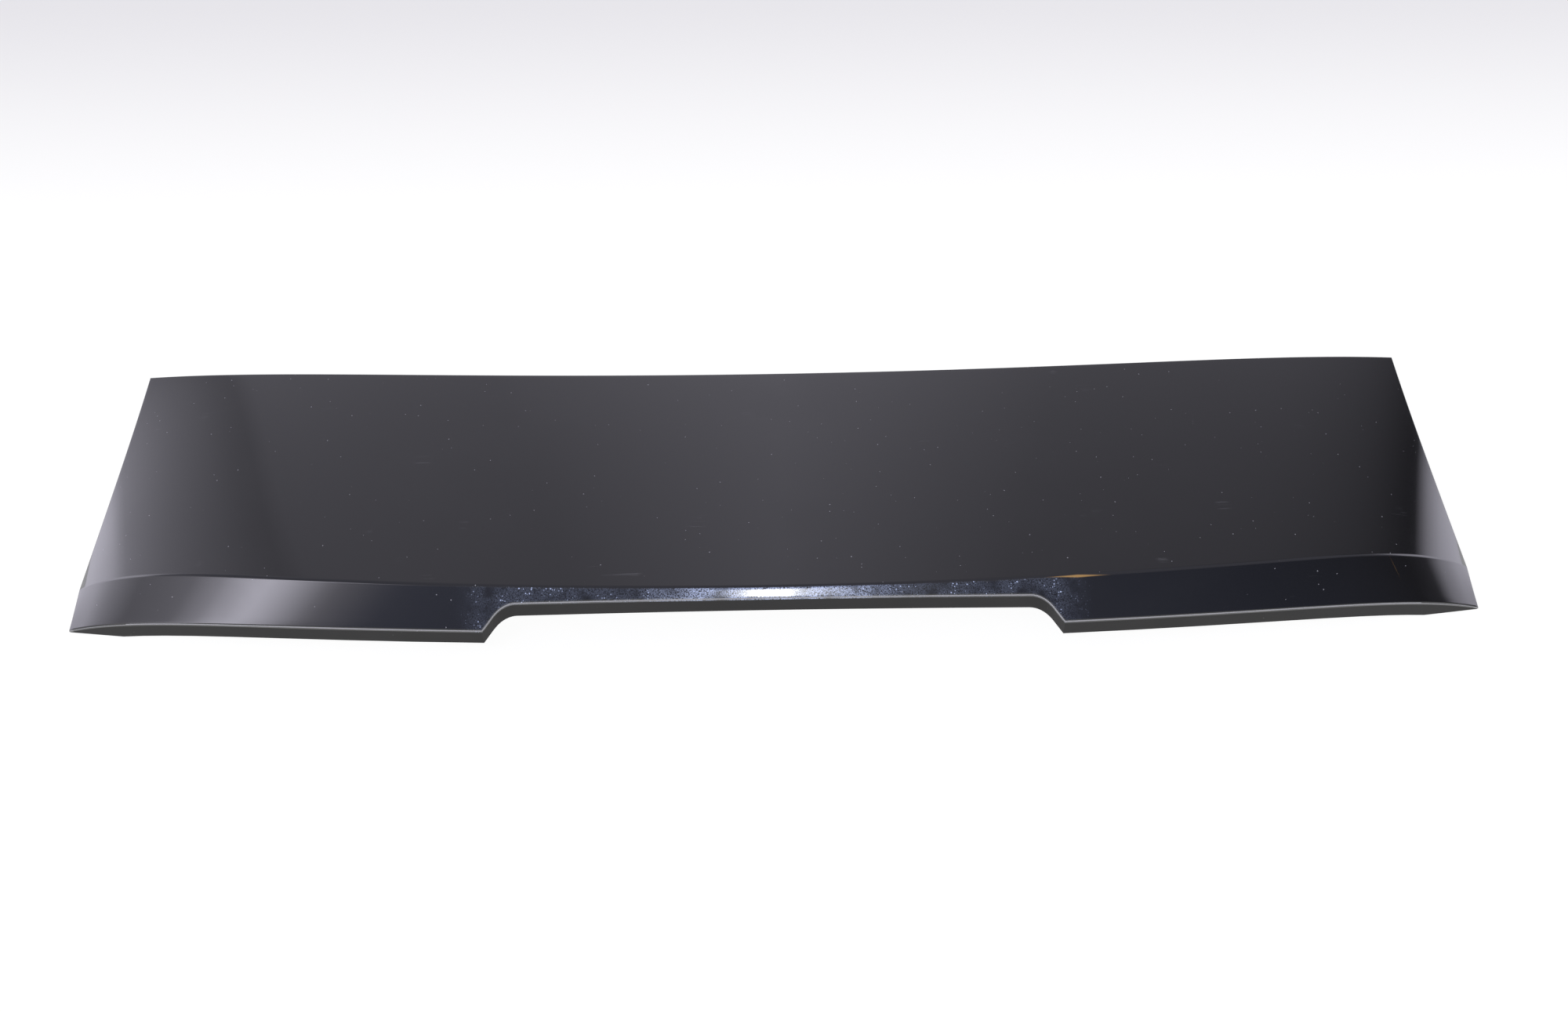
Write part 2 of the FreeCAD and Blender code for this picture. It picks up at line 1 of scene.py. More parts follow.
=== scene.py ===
"""Looks of a gloss black tailgate spoiler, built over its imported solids.

Units are metres, in the frame of the solids: +X across the car, +Y forwards, +Z up.
"""

import logging
import math
from dataclasses import dataclass, field
from enum import Enum

import bmesh
import bpy
from mathutils import Matrix, Vector


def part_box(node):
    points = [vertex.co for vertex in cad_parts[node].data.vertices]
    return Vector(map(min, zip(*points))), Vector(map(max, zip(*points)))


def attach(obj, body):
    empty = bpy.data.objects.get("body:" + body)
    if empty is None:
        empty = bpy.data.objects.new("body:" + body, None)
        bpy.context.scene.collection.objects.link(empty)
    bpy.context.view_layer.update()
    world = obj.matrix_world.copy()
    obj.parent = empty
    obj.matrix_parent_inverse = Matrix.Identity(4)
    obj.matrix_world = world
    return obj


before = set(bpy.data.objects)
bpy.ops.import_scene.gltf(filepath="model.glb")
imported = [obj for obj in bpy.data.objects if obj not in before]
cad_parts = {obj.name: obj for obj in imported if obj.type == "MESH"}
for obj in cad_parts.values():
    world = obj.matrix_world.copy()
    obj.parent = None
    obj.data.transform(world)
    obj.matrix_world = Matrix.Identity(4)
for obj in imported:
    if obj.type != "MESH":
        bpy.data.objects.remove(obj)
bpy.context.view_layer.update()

LOG = logging.getLogger("spoiler")
MM = 0.001
# Face layer that marks the rim faces which get a painted highlight
RIM_HIGHLIGHT_LAYER = "rim"
PHOTO_WIDTH_PX = 2000.0
ROUND_PROFILE = 0.5
FLAT_FACES_LEAD = 80
WHITE = (1.0, 1.0, 1.0)
Colour = tuple[float, float, float]


class Slot(Enum):
    """Material slots of the record, which also name the finishes."""

    PAINT = "gloss_black_paint"
    STEEL = "plated_steel"
    FOAM = "seal_foam"
    NYLON = "clip_nylon"


class Node(Enum):
    """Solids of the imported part."""

    PANEL = "spoiler_panel"
    STUDS = "mounting_studs"
    SEALS = "stud_seals"
    CLIPS = "push_clips"


class Stretch(Enum):
    """Stretches of a fore-aft section, from the rear forwards."""

    BAND = 0
    BEND = 1
    PANEL = 2


# Shader helpers


@dataclass(frozen=True)
class Ease:
    """Where an eased value is 0, and where it is 1."""

    zero: float
    one: float


class Nodes:
    """A node tree with short calls for adding and joining nodes."""

    def __init__(self, tree: bpy.types.NodeTree) -> None:
        """Starts on an empty tree."""
        self.tree = tree
        tree.nodes.clear()

    def add(self, kind: str, **settings: object) -> bpy.types.Node:
        """Adds a node.

        Args:
            kind: Node type, such as "ShaderNodeMath".
            settings: Properties set on the node.

        Returns:
            The new node.
        """
        node = self.tree.nodes.new(kind)
        for name, value in settings.items():
            setattr(node, name, value)
        return node

    def join(self, source: bpy.types.NodeSocket, target: bpy.types.NodeSocket) -> None:
        """Links an output to an input."""
        self.tree.links.new(source, target)

    def give(self, socket: bpy.types.NodeSocket, value: object) -> None:
        """Feeds an input from a socket, or sets it to a number."""
        if isinstance(value, bpy.types.NodeSocket):
            self.join(value, socket)
        else:
            socket.default_value = value

    def place(self, kind: str = "Object") -> bpy.types.NodeSocket:
        """Adds texture coordinates of a kind."""
        return self.add("ShaderNodeTexCoord").outputs[kind]

    def split(self, vector: bpy.types.NodeSocket) -> tuple[bpy.types.NodeSocket, ...]:
        """Splits a vector into its three axes."""
        node = self.add("ShaderNodeSeparateXYZ")
        self.join(vector, node.inputs["Vector"])
        return tuple(node.outputs)

    def noise(
        self, place: bpy.types.NodeSocket, scale: object, detail: float = 2.0
    ) -> bpy.types.NodeSocket:
        """Adds a noise texture.

        Args:
            place: Coordinates.
            scale: A socket or a number.
            detail: Octaves of finer noise.

        Returns:
            The grey value.
        """
        node = self.add("ShaderNodeTexNoise")
        self.join(place, node.inputs["Vector"])
        self.give(node.inputs["Scale"], scale)
        node.inputs["Detail"].default_value = detail
        return node.outputs["Fac"]

    def effect(self, group: bpy.types.NodeTree, settings: dict[str, float]) -> bpy.types.NodeSocket:
        """Adds a shared effect.

        Args:
            group: The effect's node group.
            settings: Values of its inputs. The others keep the group's own.

        Returns:
            The effect's mask.
        """
        node = self.add("ShaderNodeGroup", node_tree=group)
        for name, value in settings.items():
            node.inputs[name].default_value = value
        return node.outputs["Mask"]

    def math(self, operation: str, first: object, second: object = 0.0) -> bpy.types.NodeSocket:
        """Adds a Math node.

        Args:
            operation: The node's operation.
            first: A socket or a number.
            second: A socket or a number.

        Returns:
            The node's output.
        """
        node = self.add("ShaderNodeMath", operation=operation)
        for socket, value in zip(node.inputs, (first, second)):
            self.give(socket, value)
        return node.outputs[0]

    def ramp(self, value: bpy.types.NodeSocket, ease: Ease) -> bpy.types.NodeSocket:
        """Eases a value from 0 to 1.

        Args:
            value: The socket to read.
            ease: Where the result is 0 and 1.

        Returns:
            The eased value.
        """
        node = self.add("ShaderNodeMapRange", interpolation_type="SMOOTHSTEP", clamp=True)
        self.join(value, node.inputs["Value"])
        node.inputs["From Min"].default_value = ease.zero
        node.inputs["From Max"].default_value = ease.one
        return node.outputs["Result"]

    def blend(self, factor: bpy.types.NodeSocket, first: object, second: object) -> bpy.types.NodeSocket:
        """Mixes two colours.

        Args:
            factor: Share of the second colour.
            first: A socket or an RGB tuple.
            second: A socket or an RGB tuple.

        Returns:
            The mixed colour.
        """
        node = self.add("ShaderNodeMix", data_type="RGBA")
        self.join(factor, node.inputs["Factor"])
        for name, value in (("A", first), ("B", second)):
            plain = isinstance(value, tuple)
            self.give(node.inputs[name], (*value, 1.0) if plain else value)
        return node.outputs["Result"]


def new_group(name: str, inputs: dict[str, float], outputs: tuple[str, ...]) -> bpy.types.NodeTree:
    """Makes an empty shader group with value sockets.

    Args:
        name: The group's name.
        inputs: Input names with their default values.
        outputs: Output names.

    Returns:
        The group, with no nodes yet.
    """
    group = bpy.data.node_groups.new(name, "ShaderNodeTree")
    for title, value in inputs.items():
        socket = group.interface.new_socket(title, in_out="INPUT", socket_type="NodeSocketFloat")
        socket.default_value = value
    for title in outputs:
        group.interface.new_socket(title, in_out="OUTPUT", socket_type="NodeSocketFloat")
    return group


def dust_group() -> bpy.types.NodeTree:
    """Sparse specks of dust, as a mask.

    Returns:
        A group with inputs Density, Size and Coverage, and the output Mask.
    """
    group = new_group("settled_dust", {"Density": 300.0, "Size": 0.12, "Coverage": 0.2}, ("Mask",))
    nodes = Nodes(group)
    given = nodes.add("NodeGroupInput")
    result = nodes.add("NodeGroupOutput")
    cells = nodes.add("ShaderNodeTexVoronoi", feature="F1")
    nodes.join(nodes.place(), cells.inputs["Vector"])
    nodes.join(given.outputs["Density"], cells.inputs["Scale"])
    chance = nodes.add("ShaderNodeSeparateColor")
    nodes.join(cells.outputs["Color"], chance.inputs["Color"])
    grain = nodes.math("MULTIPLY", given.outputs["Size"], chance.outputs["Green"])
    inside = nodes.math("LESS_THAN", cells.outputs["Distance"], grain)
    chosen = nodes.math("LESS_THAN", chance.outputs["Red"], given.outputs["Coverage"])
    nodes.join(nodes.math("MULTIPLY", inside, chosen), result.inputs["Mask"])
    return group


SCRATCH_TURN = 0.35
SCRATCH_STRETCH = (0.05, 1.6, 1.0)
SCRATCH_DETAIL = 3.0
SCRATCH_MIDDLE = 0.5
SCRATCH_PATCH_SCALE = 26.0
SCRATCH_PATCHES = Ease(0.66, 0.74)


def scratch_group() -> bpy.types.NodeTree:
    """Fine short scratches in one direction, as a mask.

    Returns:
        A group with inputs Scale and Amount, and the output Mask.
    """
    group = new_group("fine_scratches", {"Scale": 40.0, "Amount": 0.02}, ("Mask",))
    nodes = Nodes(group)
    given = nodes.add("NodeGroupInput")
    result = nodes.add("NodeGroupOutput")
    place = nodes.place()
    stretch = nodes.add("ShaderNodeMapping")
    stretch.inputs["Rotation"].default_value = (0.0, 0.0, SCRATCH_TURN)
    stretch.inputs["Scale"].default_value = SCRATCH_STRETCH
    nodes.join(place, stretch.inputs["Vector"])
    lines = nodes.noise(stretch.outputs["Vector"], given.outputs["Scale"], SCRATCH_DETAIL)
    off_middle = nodes.math("ABSOLUTE", nodes.math("SUBTRACT", lines, SCRATCH_MIDDLE))
    thin = nodes.math("LESS_THAN", off_middle, given.outputs["Amount"])
    here = nodes.ramp(nodes.noise(place, SCRATCH_PATCH_SCALE), SCRATCH_PATCHES)
    nodes.join(nodes.math("MULTIPLY", thin, here), result.inputs["Mask"])
    return group


# Form of the show surface


@dataclass
class FormLine:
    """One line across the car: its place and height in the middle, its bow and its falls."""

    ahead: float
    bow: float
    height: float
    crown: float
    roll: float
    power: int

    def at(self, share: float) -> tuple[float, float]:
        """The line's point at a share of the half width.

        Args:
            share: Place across the car, from -1 to 1.

        Returns:
            Distance ahead of the trailing edge's middle, and height.
        """
        side = abs(share)
        up = self.height - self.crown * side**2 - self.roll * side**self.power
        return self.ahead + self.bow * side**2, up


@dataclass
class ShowSurface:
    """The painted surface: panel, crease and band between three lines, with the lamp notch."""

    film: float = 0.4 * MM
    half_width: float = 560.0 * MM
    waist: float = 4.0 * MM
    waist_power: int = 8
    crown: float = 11.4 * MM
    crease_radius: float = 5.0 * MM
    panel_radius: float = 2600.0 * MM
    notch_half: float = 225.8 * MM
    notch_depth: float = 18.0 * MM
    notch_bow: float = 2.7 * MM
    notch_run: float = 15.5 * MM
    notch_radius: float = 26.0 * MM
    lead: FormLine = field(init=False)
    crease: FormLine = field(init=False)
    trail: FormLine = field(init=False)
    rear_y: float = field(init=False)

    def __post_init__(self) -> None:
        """Sets the three lines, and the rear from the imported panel's box."""
        crown = self.crown
        self.lead = FormLine(
            ahead=300.0 * MM, bow=35.5 * MM, height=30.3 * MM, crown=crown, roll=12.2 * MM, power=6
        )
        self.crease = FormLine(
            ahead=23.8 * MM, bow=48.5 * MM, height=54.0 * MM, crown=crown, roll=32.6 * MM, power=12
        )
        self.trail = FormLine(
            ahead=0.0, bow=36.8 * MM, height=30.8 * MM, crown=crown, roll=16.7 * MM, power=12
        )
        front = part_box(Node.PANEL.value)[1][1]
        self.rear_y = front - self.lead.at(1.0)[0]

    def notch_edge(self, x: float) -> float:
        """Where the rear edge lies inside the notch.

        Args:
            x: Distance from the middle of the car.

        Returns:
            Distance ahead of the trailing edge's middle.
        """
        side = abs(x)
        mouth_y = self.trail.at(self.notch_half / self.half_width)[0]
        inner_y = self.notch_depth + self.notch_bow
        turn = math.atan2(inner_y - mouth_y, self.notch_run)
        corner_x = self.notch_half - self.notch_run
        tangent = self.notch_radius * math.tan(turn / 2)
        arc_x = corner_x - tangent
        if side <= arc_x:
            return self.notch_depth + self.notch_bow * (side / arc_x) ** 2
        if side <= corner_x + tangent * math.cos(turn):
            drop = math.sqrt(max(self.notch_radius**2 - (side - arc_x) ** 2, 0.0))
            return inner_y - self.notch_radius + drop
        return mouth_y + (self.notch_half - side) * math.tan(turn)

    def edge(self, x: float) -> float:
        """The rear edge at x, in the notch or beside it, as a distance ahead."""
        if abs(x) < self.notch_half:
            return self.notch_edge(x)
        return self.trail.at(x / self.half_width)[0]

    def bend(self, share: float) -> tuple[Vector, Vector, Vector, float]:
        """The crease's bend at a station.

        Args:
            share: Place across the car, from -1 to 1.

        Returns:
            The bend's centre, its panel end, its band end and the panel's slope there, in the
            plane of distance ahead and height.
        """
        lead = Vector(self.lead.at(share))
        crease = Vector(self.crease.at(share))
        trail = Vector(self.trail.at(share))
        chord = lead - crease
        lift = math.asin(chord.length / 2 / self.panel_radius)
        panel_angle = math.atan2(chord.y, chord.x) + lift
        band_angle = math.atan2(crease.y - trail.y, crease.x - trail.x)
        half = (band_angle - panel_angle) / 2
        reach = self.crease_radius * math.tan(half)
        panel_end = crease + reach * Vector((math.cos(panel_angle), math.sin(panel_angle)))
        band_end = crease - reach * Vector((math.cos(band_angle), math.sin(band_angle)))
        centre = panel_end + self.crease_radius * Vector(
            (math.sin(panel_angle), -math.cos(panel_angle))
        )
        return centre, panel_end, band_end, panel_angle

    def section(self, share: float, stretch: Stretch, part: float) -> Vector:
        """A point of the fore-aft section.

        Args:
            share: Place across the car, from -1 to 1.
            stretch: Band, bend or panel.
            part: Share of that stretch, from the rear forwards.

        Returns:
            Distance ahead and height.
        """
        centre, panel_end, band_end, angle = self.bend(share)
        if stretch is Stretch.BAND:
            x = share * self.half_width
            trail = Vector(self.trail.at(share))
            edge_y = self.edge(x) - self.film
            slope = (band_end.y - trail.y) / (band_end.x - trail.x)
            start = Vector((edge_y, trail.y + (edge_y - trail.x) * slope))
            return start.lerp(band_end, part)
        if stretch is Stretch.BEND:
            low = math.atan2(band_end.y - centre.y, band_end.x - centre.x)
            high = math.atan2(panel_end.y - centre.y, panel_end.x - centre.x)
            turn = low + (high - low) * part
            return centre + self.crease_radius * Vector((math.cos(turn), math.sin(turn)))
        lead = Vector(self.lead.at(share)) + Vector((self.film, 0.0))
        chord = lead - panel_end
        point = panel_end.lerp(lead, part)
        rise = chord.length_squared * part * (1.0 - part) / (2.0 * self.panel_radius)
        return point + Vector((-chord.y, chord.x)).normalized() * rise

    def point(self, share: float, stretch: Stretch, part: float) -> Vector:
        """A point of the painted surface in the part's frame.

        Args:
            share: Place across the car, from -1 at the left end to 1 at the right.
            stretch: Band, bend or panel.
            part: Share of that stretch, from the rear forwards.

        Returns:
            The point, in metres.
        """
        first = self.section(share, stretch, part)
        tip = self.trail.at(1.0)[0]
        length = self.lead.at(1.0)[0] - tip
        along = min(max((first.x - tip) / length, 0.0), 1.0)
        waist = 4.0 * self.waist * along * (1.0 - along)
        end = self.half_width + self.film - waist * abs(share) ** self.waist_power
        true_share = share * end / self.half_width
        spot = self.section(true_share, stretch, part)
        return Vector((share * end, self.rear_y + spot.x, spot.y + self.film))


# Finishes


@dataclass(frozen=True)
class ReflectionStreak:
    """A thin amber streak pointed at both ends: a painted reflection of a warm light.

    Its middle, half length, half width, turn, and how much of it shows.
    """

    x: float
    y: float
    half_length: float
    half_width: float
    turn: float
    strength: float


@dataclass(frozen=True)
class GlossPaint:
    """Black paint under a clear coat, with dust and fine scratches, two streaks of painted reflection of
    a warm light, a painted glint of the flash in the dust on the band, and a painted highlight along the
    rear rim.
    """

    name: str = Slot.PAINT.value
    colour: Colour = (0.0042, 0.0042, 0.0050)
    dust_colour: Colour = (0.42, 0.42, 0.45)
    # Amber for the two streaks: painted reflections of a warm light
    reflection_streak_colour: Colour = (0.62, 0.36, 0.10)
    # Pale blue for the dust on the band: partly dust, partly a painted glint of the flash
    dust_glint_colour: Colour = (0.58, 0.68, 0.94)
    # Lighter grey for the low, rear-facing rim faces: a painted highlight, the light line a lamp draws
    # along the rear edge
    rim_highlight_colour: Colour = (0.36, 0.36, 0.38)
    roughness: float = 0.13
    smudge_roughness: float = 0.24
    ior: float = 1.5
    coat_roughness: float = 0.015
    smudge_scale: float = 9.0
    smudge_detail: float = 4.0
    smudges: Ease = Ease(0.45, 0.75)
    grain_density: float = 260.0
    grain_size: float = 0.13
    grain_coverage: float = 0.14
    grain_strength: float = 0.8
    scratch_scale: float = 60.0
    scratch_amount: float = 0.006
    scratch_strength: float = 0.10
    mark_roughness: float = 0.9
    # Where the dust and its painted glint of the flash lie on the band
    dust_glint_edge: Ease = Ease(0.0, 1.0 * MM)
    dust_glint_core: Ease = Ease(0.115, 0.02875)
    dust_glint_wide: Ease = Ease(0.25, 0.2125)
    dust_glint_core_share: float = 0.90
    dust_glint_grain_scale: float = 1100.0
    dust_glint_grain: Ease = Ease(0.37, 0.57)
    dust_glint_patch_scale: float = 60.0
    dust_glint_patches: Ease = Ease(0.25, 0.55)
    point_density: float = 620.0
    point_size: float = 0.42
    point_coverage: float = 0.40
    point_patches: Ease = Ease(0.42, 0.62)
    streak_fade: Ease = Ease(1.0, 0.3)
    # Two streaks, along the crease and near its right end: painted reflections of a warm light
    reflection_streaks: tuple[ReflectionStreak, ...] = (
        ReflectionStreak(x=0.2365, y=-0.1388, half_length=0.030, half_width=0.0014, turn=0.055, strength=0.75),
        ReflectionStreak(x=0.491, y=-0.1180, half_length=0.013, half_width=0.0005, turn=2.05, strength=0.09),
    )

    def reflection_streak_mask(self, nodes: Nodes, place: bpy.types.NodeSocket) -> bpy.types.NodeSocket:
        """Draws the two streaks of painted reflection as a mask.

        Args:
            nodes: The paint's node tree.
            place: Object coordinates.

        Returns:
            How much of a line shows.
        """
        mask: object = 0.0
        for streak in self.reflection_streaks:
            turned = nodes.add("ShaderNodeMapping", vector_type="TEXTURE")
            turned.inputs["Location"].default_value = (streak.x, streak.y, 0.0)
            turned.inputs["Rotation"].default_value = (0.0, 0.0, streak.turn)
            turned.inputs["Scale"].default_value = (streak.half_length, streak.half_width, 1.0)
            nodes.join(place, turned.inputs["Vector"])
            x, y, _ = nodes.split(turned.outputs["Vector"])
            along, across = nodes.math("ABSOLUTE", x), nodes.math("ABSOLUTE", y)
            spindle = nodes.ramp(nodes.math("ADD", along, across), self.streak_fade)
            shown = nodes.math("MULTIPLY", spindle, streak.strength)
            mask = nodes.math("MAXIMUM", shown, mask)
        return mask

    def dust_and_glint_mask(
        self, nodes: Nodes, place: bpy.types.NodeSocket, dust: bpy.types.NodeTree, surface: ShowSurface
    ) -> bpy.types.NodeSocket:
        """Lays fine dust on the band with a painted highlight of the flash glinting in it, strongest
        towards the middle of the car, where the flash's reflection sits.

        Args:
            nodes: The paint's node tree.
            place: Object coordinates.
            dust: The dust group.
            surface: The surface, whose crease bounds the band in front.

        Returns:
            How much of the dust and its painted glint shows.
        """
        x, y, _ = nodes.split(place)
        crease = surface.crease
        bow = nodes.math("MULTIPLY", nodes.math("MULTIPLY", x, x), crease.bow / surface.half_width**2)
        crease_y = nodes.math("ADD", bow, surface.rear_y + crease.ahead)
        on_band = nodes.ramp(nodes.math("SUBTRACT", crease_y, y), self.dust_glint_edge)
        side = nodes.math("ABSOLUTE", x)
        core = nodes.ramp(side, self.dust_glint_core)
        wide = nodes.ramp(side, self.dust_glint_wide)
        middle = nodes.math(
            "ADD",
            nodes.math("MULTIPLY", core, self.dust_glint_core_share),
            nodes.math("MULTIPLY", wide, 1.0 - self.dust_glint_core_share),
        )
        grain = nodes.ramp(nodes.noise(place, self.dust_glint_grain_scale), self.dust_glint_grain)
        patches = nodes.noise(place, self.dust_glint_patch_scale)
        patched = nodes.math("MULTIPLY", grain, nodes.ramp(patches, self.dust_glint_patches))
        points = nodes.effect(dust, {
            "Density": self.point_density, "Size": self.point_size, "Coverage": self.point_coverage,
        })
        spread = nodes.math("MULTIPLY", points, wide)
        clustered = nodes.math("MULTIPLY", spread, nodes.ramp(patches, self.point_patches))
        laid = nodes.math("ADD", nodes.math("MULTIPLY", patched, middle), clustered)
        return nodes.math("MULTIPLY", nodes.math("MINIMUM", laid, 1.0), on_band)

    def build(
        self, dust: bpy.types.NodeTree, scratches: bpy.types.NodeTree, surface: ShowSurface
    ) -> bpy.types.Material:
        """Makes the paint.

        Args:
            dust: The dust group.
            scratches: The scratch group.
            surface: The surface that the paint lies on.

        Returns:
            The finished material.
        """
        material = bpy.data.materials.new(self.name)
        material.use_nodes = True
        nodes = Nodes(material.node_tree)
        out = nodes.add("ShaderNodeOutputMaterial")
        shader = nodes.add("ShaderNodeBsdfPrincipled")
        shader.inputs["IOR"].default_value = self.ior
        shader.inputs["Coat Weight"].default_value = 1.0
        shader.inputs["Coat IOR"].default_value = self.ior
        shader.inputs["Coat Roughness"].default_value = self.coat_roughness
        nodes.join(shader.outputs["BSDF"], out.inputs["Surface"])
        place = nodes.place()

        # Sparse grains of dust lie all over; on the middle of the band, fine dust gets a pale blue that
        # is partly a painted glint of the flash
        grains = nodes.effect(dust, {
            "Density": self.grain_density, "Size": self.grain_size, "Coverage": self.grain_coverage,
        })
        scored = nodes.effect(scratches, {"Scale": self.scratch_scale, "Amount": self.scratch_amount})
        marks = nodes.math(
            "MAXIMUM",
            nodes.math("MULTIPLY", grains, self.grain_strength),
            nodes.math("MULTIPLY", scored, self.scratch_strength),
        )
        # Dust on the band with a painted glint of the flash, strongest in the middle
        film = self.dust_and_glint_mask(nodes, place, dust, surface)
        dust_and_glint_laid = nodes.blend(film, self.colour, self.dust_glint_colour)
        speckled = nodes.blend(marks, dust_and_glint_laid, self.dust_colour)
        # The amber streaks are painted reflections of a warm light
        reflected = nodes.blend(self.reflection_streak_mask(nodes, place), speckled, self.reflection_streak_colour)
        # Marked rim faces get the lighter grey: a painted highlight along the rear edge
        rim = nodes.add("ShaderNodeAttribute", attribute_name=RIM_HIGHLIGHT_LAYER).outputs["Fac"]
        rim_highlighted = nodes.blend(rim, reflected, self.rim_highlight_colour)
        nodes.join(rim_highlighted, shader.inputs["Base Color"])

        haze = nodes.ramp(nodes.noise(place, self.smudge_scale, self.smudge_detail), self.smudges)
        spread = nodes.math("MULTIPLY", haze, self.smudge_roughness - self.roughness)
        smooth = nodes.math("ADD", spread, self.roughness)
        rough = nodes.math("MAXIMUM", smooth, nodes.math("MULTIPLY", marks, self.mark_roughness))
        nodes.join(rough, shader.inputs["Roughness"])
        return material


@dataclass(frozen=True)
class MouldedFinish:
    """A plain moulded or plated finish with a fine grain."""

    name: str
    colour: Colour
    second_colour: Colour
    roughness: float
    metallic: float = 0.0
    ior: float = 1.5
    grain_scale: float = 900.0
    grain_height: float = 0.15
    grain_depth: float = 0.2 * MM
    cloud_scale: float = 24.0
    cloud: Ease = Ease(0.35, 0.7)
    cloud_roughness: float = 0.1
    dust_colour: Colour = (0.4, 0.39, 0.37)
    dust_strength: float = 0.25

    def build(self, dust: bpy.types.NodeTree) -> bpy.types.Material:
        """Makes the finish.

        Args:
            dust: The dust group.

        Returns:
            The finished material.
        """
        material = bpy.data.materials.new(self.name)
        material.use_nodes = True
        nodes = Nodes(material.node_tree)
        out = nodes.add("ShaderNodeOutputMaterial")
        shader = nodes.add("ShaderNodeBsdfPrincipled")
        shader.inputs["Metallic"].default_value = self.metallic
        shader.inputs["IOR"].default_value = self.ior
        nodes.join(shader.outputs["BSDF"], out.inputs["Surface"])
        place = nodes.place()
        tone = nodes.ramp(nodes.noise(place, self.cloud_scale), self.cloud)
        base = nodes.blend(tone, self.colour, self.second_colour)
        specks = nodes.math("MULTIPLY", nodes.effect(dust, {}), self.dust_strength)
        nodes.join(nodes.blend(specks, base, self.dust_colour), shader.inputs["Base Color"])
        clouded = nodes.math("MULTIPLY", tone, self.cloud_roughness)
        nodes.join(nodes.math("ADD", clouded, self.roughness), shader.inputs["Roughness"])
        bump = nodes.add("ShaderNodeBump")
        bump.inputs["Strength"].default_value = self.grain_height
        bump.inputs["Distance"].default_value = self.grain_depth
        nodes.join(nodes.noise(place, self.grain_scale), bump.inputs["Height"])
        nodes.join(bump.outputs["Normal"], shader.inputs["Normal"])
        return material


# Painted coat


@dataclass
class PaintedSkin:
    """The coat of paint over the show surface, turned down over its rim."""

    surface: ShowSurface
    rim_depth: float = 2.2 * MM
    edge_radius: float = 1.2 * MM
    edge_segments: int = 4
    highlight_rear_limit: float = -0.2
    highlight_top_limit: float = 0.4
    coat_thickness: float = 0.3 * MM
    column_pitch: float = 7.0 * MM
    notch_pitch: float = 1.7 * MM
    end_pitch: float = 4.5 * MM
    notch_reach: float = 2.0
    band_rows: int = 6
    bend_rows: int = 8
    panel_rows: int = 40

    def columns(self) -> list[float]:
        """Places of the mesh's columns across the car, closer at the notch's ends.

        Returns:
            Shares of the half width, from -1 to 1.
        """
        half = self.surface.half_width
        near = self.surface.notch_half - self.notch_reach * self.surface.notch_run
        far = self.surface.notch_half
        spans = (
            (0.0, near, self.column_pitch), (near, far, self.notch_pitch), (far, half, self.end_pitch)
        )
        places: list[float] = []
        for start, end, pitch in spans:
            steps = max(2, round((end - start) / pitch))
            places += [start + (end - start) * step / steps for step in range(steps)]
        places.append(half)
        mirrored = [-place for place in reversed(places[1:])]
        return [place / half for place in mirrored + places]

    def rows(self) -> list[tuple[Stretch, float]]:
        """Rows of the mesh from the rear edge forwards, as stretch and share of it."""
        found: list[tuple[Stretch, float]] = []
        for stretch, count in zip(Stretch, (self.band_rows, self.bend_rows, self.panel_rows)):
            found += [(stretch, step / count) for step in range(count)]
        return found + [(Stretch.PANEL, 1.0)]

    def build(self, material: bpy.types.Material) -> bpy.types.Object:
        """Models the coat and puts it on the part.

        Args:
            material: The paint.

        Returns:
            The finished piece.
        """
        columns, rows = self.columns(), self.rows()
        wide, deep = len(columns) - 1, len(rows) - 1
        bm = bmesh.new()
        bmesh.ops.create_grid(bm, x_segments=wide, y_segments=deep, size=1.0)
        for vert in bm.verts:
            column = round((vert.co.x + 1.0) / 2.0 * wide)
            row = round((vert.co.y + 1.0) / 2.0 * deep)
            vert.co = self.surface.point(columns[column], *rows[row])
        rim = [edge for edge in bm.edges if edge.is_boundary]
        walls = bmesh.ops.extrude_edge_only(bm, edges=rim)
        for vert in (item for item in walls["geom"] if isinstance(item, bmesh.types.BMVert)):
            vert.co.z = max(vert.co.z - self.rim_depth, 0.0)
        bmesh.ops.recalc_face_normals(bm, faces=bm.faces)
        rim_highlight_layer = bm.faces.layers.float.new(RIM_HIGHLIGHT_LAYER)
        rounded = bmesh.ops.bevel(
            bm, geom=rim, offset=self.edge_radius, segments=self.edge_segments,
            profile=ROUND_PROFILE, affect="EDGES", material=-1, clamp_overlap=True,
        )
        bm.normal_update()
        # Rim faces that face low and to the rear are marked for the painted highlight along the rear
        # edge
        for face in rounded["faces"]:
            low = face.normal.z < self.highlight_top_limit
            face[rim_highlight_layer] = float(low and face.normal.y < self.highlight_rear_limit)
        for face in bm.faces:
            face.smooth = True
        return add_piece("paint_coat", bm, material, self.coat_thickness)


